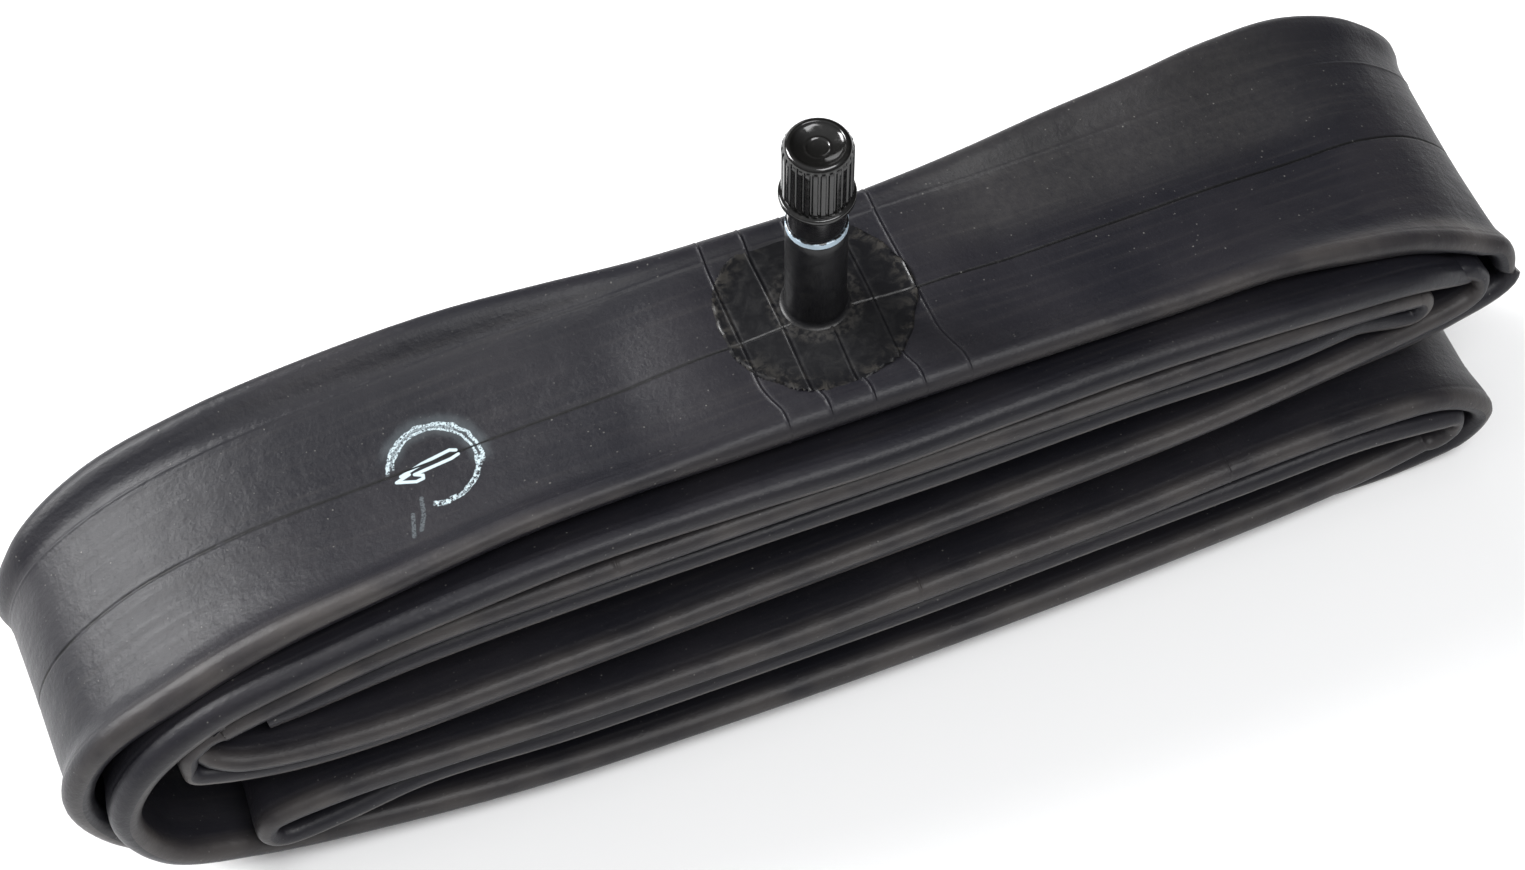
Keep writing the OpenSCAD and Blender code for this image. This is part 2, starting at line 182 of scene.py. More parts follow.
def route_curve():
    """The CAD's smooth closed curve through the route, in steps of about STEP or less in turns:
    rows of x, y, z, width, edge radius and share of the sag."""
    knots, extra = [], []
    for radius, share, points in ROUTE:
        for p in points:
            knots.append(tuple(p) if len(p) == 4 else (*p, TUBE_W))
            extra.append((radius, share))
    knots = np.array(knots, float)
    extra = np.array(extra, float)
    n = len(knots)
    ahead = np.roll(knots, -1, 0) - knots
    gap = np.sqrt(np.linalg.norm(ahead, axis=1))
    behind = np.roll(ahead, 1, 0)
    gap0 = np.roll(gap, 1)[:, None]
    gap1 = gap[:, None]
    slope = behind / gap0 - (ahead + behind) / (gap0 + gap1) + ahead / gap1
    rows = []
    for i in range(n):
        j = (i + 1) % n
        length = gap[i] ** 2
        step = TURN_STEP if length < 9 else STEP
        for t in np.arange(0, 1, 1 / max(2, round(length / step))):
            p = knots[i] * (2 * t**3 - 3 * t**2 + 1) + slope[i] * gap[i] * (t**3 - 2 * t**2 + t)
            p = p + knots[j] * (3 * t**2 - 2 * t**3) + slope[j] * gap[i] * (t**3 - t**2)
            e = extra[i] + (extra[j] - extra[i]) * t
            rows.append((p[0], p[3] / 2 - NEAR_EDGE - p[2], max(p[1], LOW), p[3], e[0], e[1]))
    return np.array(rows)


def smooth_ring(values, times):
    """Evens out a closed run of values."""
    for _ in range(times):
        values = (np.roll(values, 1, 0) + 2 * values + np.roll(values, -1, 0)) / 4
    return values


def distance_along(points):
    """Distance along the closed curve at each point, and its whole length."""
    steps = np.linalg.norm(np.roll(points, -1, 0) - points, axis=1)
    return np.concatenate([[0], np.cumsum(steps)[:-1]]), steps.sum()


def resample(rows, stations):
    """The curve's rows at the given distances along it."""
    along, length = distance_along(rows[:, :3])
    closed = np.vstack([rows, rows[:1]])
    along = np.append(along, length)
    return np.stack([np.interp(stations % length, along, column) for column in closed.T], 1)


def waves(s, length, seed, count, longest):
    """A slow random variation about 0 along the closed ring, about 1 high."""
    rng = np.random.default_rng(seed)
    total = np.zeros_like(s)
    first = max(1, round(length / longest))
    for k in range(first, first + count):
        total += rng.normal() * np.sin(2 * np.pi * k * s / length + rng.uniform(0, 2 * np.pi))
    return total / math.sqrt(count / 2) / 2


def make_object(name, verts, faces, material, uvs=None, crease=None):
    """A mesh object from points in millimetres in the frame. Edges sharper than crease degrees
    stay sharp."""
    mesh = bpy.data.meshes.new(name)
    mesh.from_pydata((np.asarray(verts) * MM).tolist(), [], faces)
    if uvs is not None:
        layer = mesh.uv_layers.new(name="skin")
        layer.data.foreach_set("uv", np.asarray(uvs, np.float32).ravel())
    else:
        work = bmesh.new()
        work.from_mesh(mesh)
        bmesh.ops.remove_doubles(work, verts=work.verts, dist=1e-7)
        bmesh.ops.dissolve_degenerate(work, edges=work.edges, dist=1e-7)
        bmesh.ops.recalc_face_normals(work, faces=work.faces)
        work.to_mesh(mesh)
        work.free()
    mesh.polygons.foreach_set("use_smooth", [True] * len(mesh.polygons))
    if crease is not None:
        mesh.set_sharp_from_angle(angle=math.radians(crease))
    mesh.materials.append(material)
    mesh.update()
    obj = bpy.data.objects.new(name, mesh)
    bpy.context.scene.collection.objects.link(obj)
    return obj


# ---------------------------------------------------------------- materials


class Graph:
    """A material's nodes, with short ways to add and join them."""

    def __init__(self, name):
        self.material = bpy.data.materials.new(name)
        self.material.use_nodes = True
        self.tree = self.material.node_tree
        self.shader = self.tree.nodes["Principled BSDF"]

    def link(self, value, socket):
        if isinstance(value, bpy.types.NodeSocket):
            self.tree.links.new(value, socket)
        else:
            socket.default_value = value

    def add(self, kind, settings=None, inputs=None, output=0):
        node = self.tree.nodes.new(kind)
        for key, value in (settings or {}).items():
            setattr(node, key, value)
        for key, value in (inputs or {}).items():
            self.link(value, node.inputs[key])
        return node.outputs[output]

    def math(self, operation, a, b=0.0):
        return self.add("ShaderNodeMath", {"operation": operation}, {0: a, 1: b})

    def product(self, *values):
        total = values[0]
        for value in values[1:]:
            total = self.math("MULTIPLY", total, value)
        return total

    def most(self, *values):
        total = values[0]
        for value in values[1:]:
            total = self.math("MAXIMUM", total, value)
        return total

    def position(self):
        """The point on the object in millimetres from the valve's axis at floor level."""
        point = self.add("ShaderNodeTexCoord", output=3)
        point = self.scaled(point, (1 / MM,) * 3)
        settings = {"operation": "SUBTRACT"}
        return self.add("ShaderNodeVectorMath", settings, {0: point, 1: tuple(VALVE)})

    def scaled(self, vector, factors):
        settings = {"operation": "MULTIPLY"}
        return self.add("ShaderNodeVectorMath", settings, {0: vector, 1: factors})

    def axes(self, vector):
        node = self.tree.nodes.new("ShaderNodeSeparateXYZ")
        self.link(vector, node.inputs[0])
        return node.outputs[0], node.outputs[1], node.outputs[2]

    def length(self, x, y):
        square = self.math("ADD", self.math("MULTIPLY", x, x), self.math("MULTIPLY", y, y))
        return self.math("SQRT", square)

    def skin(self):
        """Distance along the tube from the valve and across it from the seam, in millimetres."""
        uv = self.add("ShaderNodeUVMap", {"uv_map": "skin"})
        along, across, _ = self.axes(uv)
        return uv, along, across

    def noise(self, vector, scale, detail=3.0, roughness=0.5, distortion=0.0):
        inputs = {"Vector": vector, "Scale": scale, "Detail": detail}
        inputs.update({"Roughness": roughness, "Distortion": distortion})
        return self.add("ShaderNodeTexNoise", None, inputs)

    def cells(self, vector, scale):
        return self.add("ShaderNodeTexVoronoi", None, {"Vector": vector, "Scale": scale})

    def ramp(self, value, low, high, out_low=0.0, out_high=1.0):
        """Maps low..high to out_low..out_high smoothly, and holds beyond."""
        inputs = {"Value": value, "From Min": low, "From Max": high}
        inputs.update({"To Min": out_low, "To Max": out_high})
        return self.add("ShaderNodeMapRange", {"interpolation_type": "SMOOTHSTEP"}, inputs)

    def band(self, value, middle, half, edge):
        """1 within half of middle, falling to 0 over edge more."""
        away = self.math("ABSOLUTE", self.math("SUBTRACT", value, middle))
        return self.ramp(away, half, half + edge, 1, 0)

    def stroke(self, x, y, points, half):
        """1 within about half of a line through the points."""
        total = None
        for (ax, ay), (bx, by) in zip(points[:-1], points[1:]):
            dx, dy = bx - ax, by - ay
            px, py = self.math("SUBTRACT", x, ax), self.math("SUBTRACT", y, ay)
            dot = self.math("ADD", self.math("MULTIPLY", px, dx), self.math("MULTIPLY", py, dy))
            t = self.add(
                "ShaderNodeMath",
                {"operation": "DIVIDE", "use_clamp": True},
                {0: dot, 1: dx * dx + dy * dy},
            )
            away = self.length(
                self.math("SUBTRACT", px, self.math("MULTIPLY", t, dx)),
                self.math("SUBTRACT", py, self.math("MULTIPLY", t, dy)),
            )
            total = away if total is None else self.math("MINIMUM", total, away)
        return self.ramp(total, half * 0.7, half * 1.3, 1, 0)

    def mix(self, factor, a, b):
        inputs = {0: factor, 6: a, 7: b}
        return self.add("ShaderNodeMix", {"data_type": "RGBA"}, inputs, output=2)

    def bump(self, height, distance_mm, strength=1.0):
        inputs = {"Height": height, "Distance": distance_mm * MM, "Strength": strength}
        return self.add("ShaderNodeBump", None, inputs)

    def set(self, **inputs):
        for key, value in inputs.items():
            self.link(value, self.shader.inputs[key.replace("_", " ")])


def colour(r, g, b):
    return (r, g, b, 1.0)


CHALK_U = -55.0
CHALK_V = -1.0


def chalk_mask(g, uv, along, across):
    """A checker's chalk mark on lap 1: a double ring open at its lower left, and a tick in it
    along the seam, with two faint smears below."""
    x = g.math("SUBTRACT", along, CHALK_U)
    y = g.math("SUBTRACT", across, CHALK_V)
    wobble = g.noise(uv, 0.55, 2.0)
    r = g.math("ADD", g.length(x, y), g.math("MULTIPLY", g.math("SUBTRACT", wobble, 0.5), 0.9))
    angle = g.add("ShaderNodeMath", {"operation": "ARCTAN2"}, {0: y, 1: x})
    outer = g.product(g.band(r, 6.55, 0.2, 0.12), g.band(angle, 1.33, 1.52, 0.12))
    inner = g.product(g.band(r, 5.75, 0.13, 0.1), g.band(angle, 1.15, 1.6, 0.1))
    between = g.product(g.band(r, 6.15, 0.4, 0.1), g.band(angle, 1.75, 0.85, 0.3), 0.45)
    lower = g.product(g.band(r, 6.0, 0.32, 0.15), g.band(angle, -1.0, 0.85, 0.08))
    far_side = [(-4.7, 0.95 - 0.5), (-1.5, 1.2), (2.6, 1.7), (3.4, 1.35)]
    near_side = [(3.5, 0.65), (2.4, 0.35), (-2.9, 0.0), (-1.9, -0.55), (-2.0, -1.05), (-3.0, -1.15)]
    near_side += [(-5.5, -0.2), (-3.6, 0.3)]
    tick = g.most(g.stroke(x, y, far_side, 0.24), g.stroke(x, y, near_side, 0.24))
    smears = g.most(
        g.stroke(x, y, [(-3.2, -4.0), (-3.6, -6.5), (-4.6, -9.0)], 0.3),
        g.stroke(x, y, [(-5.0, -6.0), (-5.8, -9.6)], 0.28),
    )
    crumbs = g.ramp(g.noise(uv, 3.2, 3.0, 0.7), 0.38, 0.55)
    coarse = g.ramp(g.noise(uv, 1.9, 3.0, 0.7), 0.42, 0.58)
    halo = g.product(g.band(r, 6.4, 0.6, 1.6), g.band(angle, 1.2, 1.1, 0.5), 0.07)
    mark = g.most(g.product(g.most(outer, inner, between), crumbs), g.product(lower, coarse), tick)
    mark = g.most(mark, g.product(smears, crumbs, 0.14), halo)
    on_seam = g.band(across, 0.0, 0.1, 0.06)
    return g.product(mark, g.math("SUBTRACT", 1.0, on_seam), 0.88)


def tube_rubber():
    """Satin butyl rubber: charcoal, warmer where it is rubbed and where a highlight is painted on the near
    edges, with painted shade in the seam's groove and a trace of talc.
    """
    g = Graph("tube_rubber")
    uv, along, across = g.skin()
    point = g.position()
    blotches = g.noise(point, 0.035, 4.0, 0.6)
    grain = g.noise(point, 1.6, 5.0, 0.65)
    streaks = g.noise(g.scaled(uv, (0.03, 0.9, 1.0)), 1.0, 4.0, 0.6)
    base = g.mix(g.ramp(blotches, 0.35, 0.7), colour(0.009, 0.009, 0.0125), colour(0.016, 0.015, 0.0185))
    base = g.mix(g.ramp(streaks, 0.48, 0.78, 0, 0.3), base, colour(0.034, 0.031, 0.031))
    # brownish grey on the upper face by the near edges: partly rubbing and dust, partly a painted highlight
    # on the near rounded edges
    rubbed_edge_and_highlight = g.product(g.ramp(across, -14.2, -17.0), g.ramp(g.noise(point, 0.12), 0.1, 0.8))
    base = g.mix(g.math("MULTIPLY", rubbed_edge_and_highlight, 0.6), base, colour(0.075, 0.067, 0.062))
    # painted shade: the seam's groove drawn as a near-black line, broken in places
    seam = g.band(across, 0.0, 0.16, 0.12)
    worn = g.ramp(g.noise(g.scaled(uv, (0.35, 0.0, 1.0)), 1.0, 2.0), 0.44, 0.5)
    broken = g.most(worn, g.ramp(along, -85.0, -75.0))
    base = g.mix(g.product(seam, broken, 0.85), base, colour(0.003, 0.003, 0.003))
    # talc: fine specks in patches, most of them right of the valve on the far side
    specks = g.ramp(g.cells(point, 0.9), 0.06, 0.16, 1, 0)
    patches = g.ramp(g.noise(point, 0.05, 2.0), 0.44, 0.62)
    beyond = g.product(g.ramp(along, 12.0, 30.0), g.ramp(along, 70.0, 95.0, 1, 0), g.ramp(across, 1.0, 8.0))
    dust = g.product(specks, g.ramp(grain, 0.48, 0.62), g.most(g.ramp(patches, 0.0, 1.0, 0.25, 0.8), beyond))
    film = g.product(g.noise(point, 0.8, 5.0, 0.75), beyond, 0.16)
    base = g.mix(g.product(dust, 0.7), base, colour(0.22, 0.215, 0.2))
    base = g.mix(film, base, colour(0.2, 0.19, 0.17))
    chalk = chalk_mask(g, uv, along, across)
    base = g.mix(chalk, base, colour(0.5, 0.6, 0.64))
    rough = g.ramp(streaks, 0.25, 0.75, 0.4, 0.48)
    rough = g.math("ADD", rough, g.math("MULTIPLY", chalk, 0.35))
    height = g.math("ADD", grain, g.math("MULTIPLY", g.noise(point, 0.35, 3.0), 2.0))
    height = g.math("ADD", height, g.math("MULTIPLY", streaks, 0.5))
    g.set(Base_Color=base, Roughness=rough, Normal=g.bump(height, 0.08, 0.8))
    g.shader.inputs["Specular IOR Level"].default_value = 0.26
    return g.material


def valve_rubber():
    """Smoother, blacker moulded rubber of the stem and its pad, with dried talc round the rim."""
    g = Graph("valve_rubber")
    point = g.position()
    x, y, z = g.axes(point)
    r = g.length(x, y)
    grain = g.noise(point, 1.4, 5.0, 0.6)
    smears = g.noise(point, 0.45, 5.0, 0.7, 0.8)
    black, greyer = colour(0.005, 0.005, 0.006), colour(0.011, 0.0105, 0.0098)
    base = g.mix(g.ramp(smears, 0.5, 0.75, 0, 0.6), black, greyer)
    on_pad = g.ramp(z, TUBE_TOP + 1.5, TUBE_TOP + 2.2, 1, 0)
    rim = g.product(g.ramp(r, 10.5, 13.6), g.ramp(smears, 0.45, 0.62), on_pad)
    base = g.mix(g.product(rim, 0.75), base, colour(0.028, 0.025, 0.021))
    scuffs = g.ramp(g.noise(point, 1.6, 6.0, 0.8, 1.2), 0.6, 0.72)
    scratches = g.product(scuffs, g.ramp(r, 6.5, 11.0), on_pad)
    base = g.mix(g.product(scratches, 0.3), base, colour(0.07, 0.066, 0.058))
    foot = g.product(g.band(r, 5.6, 0.5, 0.9), g.ramp(grain, 0.4, 0.6), on_pad, 0.12)
    base = g.mix(foot, base, colour(0.16, 0.15, 0.135))
    rough = g.math("ADD", g.ramp(smears, 0.35, 0.7, 0.3, 0.46), g.math("MULTIPLY", rim, 0.15))
    g.set(Base_Color=base, Roughness=rough, Normal=g.bump(grain, 0.05, 0.5))
    g.shader.inputs["Specular IOR Level"].default_value = 0.32
    return g.material


def cap_plastic():
    """Glossy black moulded plastic with faint handling marks."""
    g = Graph("cap_plastic")
    point = g.position()
    marks = g.noise(point, 1.1, 5.0, 0.7)
    base = g.mix(g.ramp(marks, 0.55, 0.8), colour(0.006, 0.0058, 0.0055), colour(0.014, 0.013, 0.0115))
    g.set(Base_Color=base, Roughness=g.ramp(marks, 0.4, 0.75, 0.1, 0.24))
    g.set(Normal=g.bump(g.noise(point, 0.6, 3.0), 0.03, 0.3))
    return g.material


def metal(name, base, dark, low_rough, high_rough):
    """Turned metal: fine rings round the axis, with a little tarnish."""
    g = Graph(name)
    point = g.position()
    rings = g.noise(g.scaled(point, (0.05, 0.05, 3.0)), 1.0, 3.0)
    tarnish = g.noise(point, 0.9, 4.0, 0.6)
    g.set(Base_Color=g.mix(g.ramp(tarnish, 0.45, 0.75), base, dark), Metallic=1.0)
    g.set(Roughness=g.ramp(rings, 0.3, 0.7, low_rough, high_rough))
    g.set(Normal=g.bump(rings, 0.01, 0.4))
    return g.material


def stem_metal():
    """The plated stem: a pale matt ring on the rubber, and glossy black plate above it."""
    g = Graph("stem_metal")
    point = g.position()
    _, _, z = g.axes(point)
    worn = g.noise(point, 1.2, 4.0, 0.6)
    level = g.math("ADD", z, g.math("MULTIPLY", g.math("SUBTRACT", worn, 0.5), 0.5))
    ring = g.band(level, SLEEVE_TOP + 0.55, 0.4, 0.14)
    plate = g.mix(g.ramp(worn, 0.4, 0.7), colour(0.008, 0.008, 0.009), colour(0.02, 0.0195, 0.02))
    g.set(Base_Color=g.mix(ring, plate, colour(0.42, 0.52, 0.6)))
    g.set(Roughness=g.ramp(ring, 0.0, 1.0, 0.12, 0.4), Metallic=g.ramp(ring, 0.0, 1.0, 0.35, 0.15))
    g.set(Normal=g.bump(worn, 0.02, 0.3))
    return g.material


def soft_seal(name, base, dark):
    """Small rubber and plastic seals."""
    g = Graph(name)
    mottle = g.noise(g.position(), 1.5, 4.0)
    g.set(Base_Color=g.mix(g.ramp(mottle, 0.4, 0.7), base, dark))
    g.set(Roughness=g.ramp(mottle, 0.3, 0.7, 0.4, 0.6))
    g.set(Normal=g.bump(mottle, 0.03, 0.4))
    return g.material


# ---------------------------------------------------------------- the tube


def nearest_station(rows, along, x, z):
    """Distance along the ring of the point of the route nearest to (x, z)."""
    return along[np.argmin(np.hypot(rows[:, 0] - x, rows[:, 2] - z))]


def tube_stations(along, length, rib_places):
    """Distances along the ring at which the skin gets a ring of points, close together at ribs."""
    keep = np.ones(len(along), bool)
    extra = []
    for place in rib_places:
        away = np.abs((along - place + length / 2) % length - length / 2)
        keep &= away > RIB_OFFSETS[-1] + 0.1
        extra += [(place + d) % length for d in RIB_OFFSETS]
    return np.sort(np.concatenate([along[keep], extra]))


def between(a, b, count):
    """Evenly spaced positions strictly between columns a and b."""
    t = np.linspace(0, 1, count + 2)[1:-1]
    return a[:, None] + (b - a)[:, None] * t


def section_stations(half, edge):
    """Positions across the tube, from -half to half on the upper face and back on the lower:
    for each ring of the tube a row of (across, face), where face is 1 above and -1 below."""
    fine = np.array([-0.45, -0.16, 0.0, 0.16, 0.45])
    round_edge = np.radians(np.linspace(0, 75, 7))
    near = -(half - edge)[:, None] - edge[:, None] * np.cos(round_edge)[None, :]
    crease = -(half - edge)[:, None] + np.array([0.25, 0.6, 0.85, 1.1, 1.45])
    seam = np.full_like(edge, SEAM)[:, None] + fine
    second = np.full_like(edge, SECOND_LINE)[:, None] + fine
    face = [near, crease, between(crease[:, -1], seam[:, 0], 10), seam, between(seam[:, -1], second[:, 0], 7)]
    face += [second, between(second[:, -1], -near[:, -1], 4), -near[:, ::-1]]
    upper = np.concatenate(face, 1)
    lower = upper[:, -2:0:-1]
    across = np.concatenate([upper, lower], 1)
    side = np.concatenate([np.ones_like(upper), -np.ones_like(lower)], 1)
    side[:, 0] = 0
    side[:, upper.shape[1] - 1] = 0
    return across, side


def tube_skin(material):
    """The whole ring as one closed swept skin: rounded edges, dished faces, mould lines, ribs."""
    rows = route_curve()
    along, length = distance_along(rows[:, :3])
    rib_places = [(x + START_TO_VALVE) % length for x in VALVE_RIBS]
    rib_places += [nearest_station(rows, along, x, z) for x, z in LONE_RIBS]
    stations = tube_stations(along, length, rib_places)
    rows = resample(rows, stations)
    points, half, edge, share = rows[:, :3], rows[:, 3] / 2, rows[:, 4], rows[:, 5]
    from_valve = (stations - START_TO_VALVE + length / 2) % length - length / 2

    tangent = np.roll(points, -1, 0) - np.roll(points, 1, 0)
    tangent /= np.linalg.norm(tangent, axis=1)[:, None]
    through = np.cross(tangent, [0, 1, 0])
    through /= np.linalg.norm(through, axis=1)[:, None]
    across_dir = np.cross(through, tangent)

    near_valve = 1 - smooth((np.abs(from_valve) - 13) / 16)
    edge = smooth_ring(edge, 30) * (1 + 0.05 * waves(stations, length, 3, 40, 160))
    web = WEB_HALF + (PAD_WEB_HALF - WEB_HALF) * near_valve
    lap_1 = np.abs(from_valve) < 135
    x = points[:, 0]
    sag = np.where(lap_1, np.interp(x, SAG_X, SAG), np.interp(x, UNDER_SAG_X, UNDER_SAG) * share)
    sag = smooth_ring(sag, 24) * (1 + 0.08 * waves(stations, length, 5, 24, 200) * (1 - near_valve))
    sag = sag * (1 - near_valve) + np.where(lap_1, 0, sag * near_valve)
    across, face = section_stations(half, edge)
    half_col, edge_col, web_col = half[:, None], edge[:, None], web[:, None]

    over = np.abs(across) - (half_col - edge_col)
    bulb = np.sqrt(np.maximum(edge_col**2 - np.maximum(over, 0) ** 2, 0))
    to_web = np.clip(-over / np.where(lap_1, 3.6, 7.5)[:, None], 0, 1)
    height = web_col + (edge_col - web_col) * (1 - to_web) ** 2 * (1 + 2 * to_web)
    height = np.where(over > 0, bulb, height)
    # the mould lines: a sharp groove for the seam and a fine raised second line on each face
    groove = np.exp(-(((across - SEAM) / 0.11) ** 2))
    ridge = np.exp(-(((across - SECOND_LINE) / 0.15) ** 2))
    # the crease where the near edge was pressed in the mould
    crease = np.exp(-(((across + half_col - edge_col - 0.85) / 0.22) ** 2))
    height = height - 0.13 * groove + 0.1 * ridge - 0.08 * crease
    # ribs right round the tube
    for place in rib_places:
        away = (stations - place + length / 2) % length - length / 2
        rib = 0.14 * np.exp(-((away / 0.14) ** 2)) - 0.1 * np.exp(-(((away - 0.32) / 0.14) ** 2))
        height = height + rib[:, None] * (face != 0)
    # slow unevenness of the pressed faces
    uneven = 0.12 * waves(stations, length, 11, 60, 90)[:, None] * np.sin(across / 5.0 + 1.0)
    bowl = (1 - (across / half_col) ** 2) ** np.where(lap_1, 1, 2)[:, None]
    drop = -sag[:, None] * through[:, 2:3] * bowl
    drop = drop + uneven * (1 - near_valve[:, None]) * (1 - (across / half_col) ** 2)
    offset = face * height + drop
    verts = points[:, None, :] + across_dir[:, None, :] * across[..., None]
    verts = verts + through[:, None, :] * offset[..., None]
    # by the valve the near edge was pushed along, which bends the ribs there
    bend = 1.3 * near_valve[:, None] * smooth((9 - half_col - across) / 6)
    verts = verts + tangent[:, None, :] * bend[..., None]
    verts[..., 2] = np.maximum(verts[..., 2], 0.02)
    verts = verts + VALVE

    n, m = across.shape
    i = np.arange(n)[:, None]
    j = np.arange(m)[None, :]
    faces = np.stack(
        [i * m + j, i * m + (j + 1) % m, (i + 1) % n * m + (j + 1) % m, (i + 1) % n * m + j], -1
    ).reshape(-1, 4)
    # across the upper face from the seam, and on from its far edge round the lower face
    v = np.where(face >= 0, across - SEAM, 2 * half_col - across - SEAM)
    v_next = np.roll(v, -1, 1)
    v_next[:, -1] = 3 * half - SEAM
    step = np.linalg.norm(np.roll(points, -1, 0) - points, axis=1)
    u0 = np.broadcast_to(from_valve[:, None], (n, m))
    u1 = u0 + step[:, None]
    corners = [(u0, v), (u0, v_next), (u1, np.roll(v_next, -1, 0)), (u1, np.roll(v, -1, 0))]
    uvs = np.stack([np.stack(c, -1) for c in corners], 2)
    skin = make_object("tube_skin", verts.reshape(-1, 3), faces.tolist(), material, uvs)
    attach(skin, "ring")
    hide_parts("tube")
    return skin


# ---------------------------------------------------------------- the valve


def turned(outline, steps, radius=None, closed=True):
    """Points and faces of a turned piece about the valve's axis from (radius, height) points.
    radius(r, z, angle) can shape it further."""
    angles = np.linspace(0, 2 * np.pi, steps, endpoint=False)
    outline = np.array(outline, float)
    r = outline[:, 0][None, :].repeat(steps, 0)
    z = outline[:, 1][None, :].repeat(steps, 0)
    a = angles[:, None].repeat(len(outline), 1)
    if radius is not None:
        r, z = radius(r, z, a)
    verts = np.stack([r * np.cos(a), r * np.sin(a), z], -1) + VALVE
    n, m = r.shape
    i = np.arange(n)[:, None]
    j = np.arange(m if closed else m - 1)[None, :]
    faces = np.stack([i * m + j, (i + 1) % n * m + j, (i + 1) % n * m + (j + 1) % m, i * m + (j + 1) % m], -1)
    return verts.reshape(-1, 3), faces.reshape(-1, 4).tolist()


def arc(cx, cz, r, a0, a1, steps):
    """Points of an arc in an outline, angles in degrees from +radius towards up."""
    return [
        (cx + r * math.cos(math.radians(a)), cz + r * math.sin(math.radians(a)))
        for a in np.linspace(a0, a1, steps)
    ]


def rise(z0, z1, r, steps):
    """A straight run of points up an outline at one radius."""
    return [(r, z) for z in np.linspace(z0, z1, steps)]


def pad_grid():
    """The pad on the tube: thin and feathered at its uneven rim, crossed by the seam and ribs."""
    reach = PAD_R + 0.1
    offsets = np.array([-0.4, -0.16, 0.0, 0.16, 0.4])
    xs = [np.linspace(-reach, reach, 76)] + [x + offsets for x in VALVE_RIBS if abs(x) < reach]
    ys = [np.linspace(-reach, reach, 76), SEAM - 1.05 + offsets]
    xs, ys = np.unique(np.concatenate(xs).round(3)), np.unique(np.concatenate(ys).round(3))
    x, y = np.meshgrid(xs, ys, indexing="ij")
    r = np.hypot(x, y)
    a = np.arctan2(y, x)
    rim = PAD_R - 0.45 + 0.2 * np.sin(3 * a + 1) + 0.22 * np.sin(7 * a + 2) + 0.12 * np.sin(17 * a)
    rng = np.random.default_rng(4)
    lumps = sum(
        np.sin(x * rng.normal(0, 1.2) + y * rng.normal(0, 1.2) + rng.uniform(0, 6.3)) for _ in range(10)
    )
    height = 0.3 + 0.75 * (1 - smooth((r - 4) / 8.5)) + 0.006 * lumps * smooth((r - 5) / 3)
    height = np.where(r < rim, height, height - 1.1 * smooth((r - rim) / 0.5) - 0.2 * (r > rim + 0.5))
    # raised lip of cured rubber just inside the rim
    height = height + 0.08 * np.exp(-(((r - rim + 0.25) / 0.3) ** 2))
    for rib in VALVE_RIBS:
        beside = x - rib - 0.3
        height = height + 0.09 * np.exp(-(((x - rib) / 0.15) ** 2)) - 0.08 * np.exp(-((beside / 0.14) ** 2))
    height = height - 0.16 * np.exp(-(((y - SEAM + 1.05) / 0.13) ** 2))
    verts = np.stack([x, y, TUBE_TOP + height], -1) + VALVE
    n, m = x.shape
    i, j = np.meshgrid(np.arange(n - 1), np.arange(m - 1), indexing="ij")
    faces = np.stack([i * m + j, (i + 1) * m + j, (i + 1) * m + j + 1, i * m + j + 1], -1)
    inside = r[:-1, :-1] < PAD_R
    inside &= (r[1:, :-1] < PAD_R) & (r[:-1, 1:] < PAD_R) & (r[1:, 1:] < PAD_R)
    return verts.reshape(-1, 3), faces[inside].tolist()


def valve_rubber_mesh(material):
    """The stem's rubber sleeve with its small fillet, and the pad that it stands on."""
    r = STEM_R
    foot = TUBE_TOP + 0.95
    outline = arc(r + 1.0, foot + 1.0, 1.0, 270, 180, 7) + rise(foot + 1.5, SLEEVE_TOP - 0.2, r, 12)
    outline += [(r - 0.1, SLEEVE_TOP - 0.02), (r - 0.3, SLEEVE_TOP), (3.32, SLEEVE_TOP)]
    outline += [(3.32, TUBE_TOP + 1.4), (5.0, TUBE_TOP + 0.9)]
    sleeve, sleeve_faces = turned(outline, 96)
    pad, pad_faces = pad_grid()
    faces = sleeve_faces + [[k + len(sleeve) for k in face] for face in pad_faces]
    obj = make_object("valve_rubber", np.concatenate([sleeve, pad]), faces, material, crease=50)
    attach(obj, "ring")
    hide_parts("valve_base")


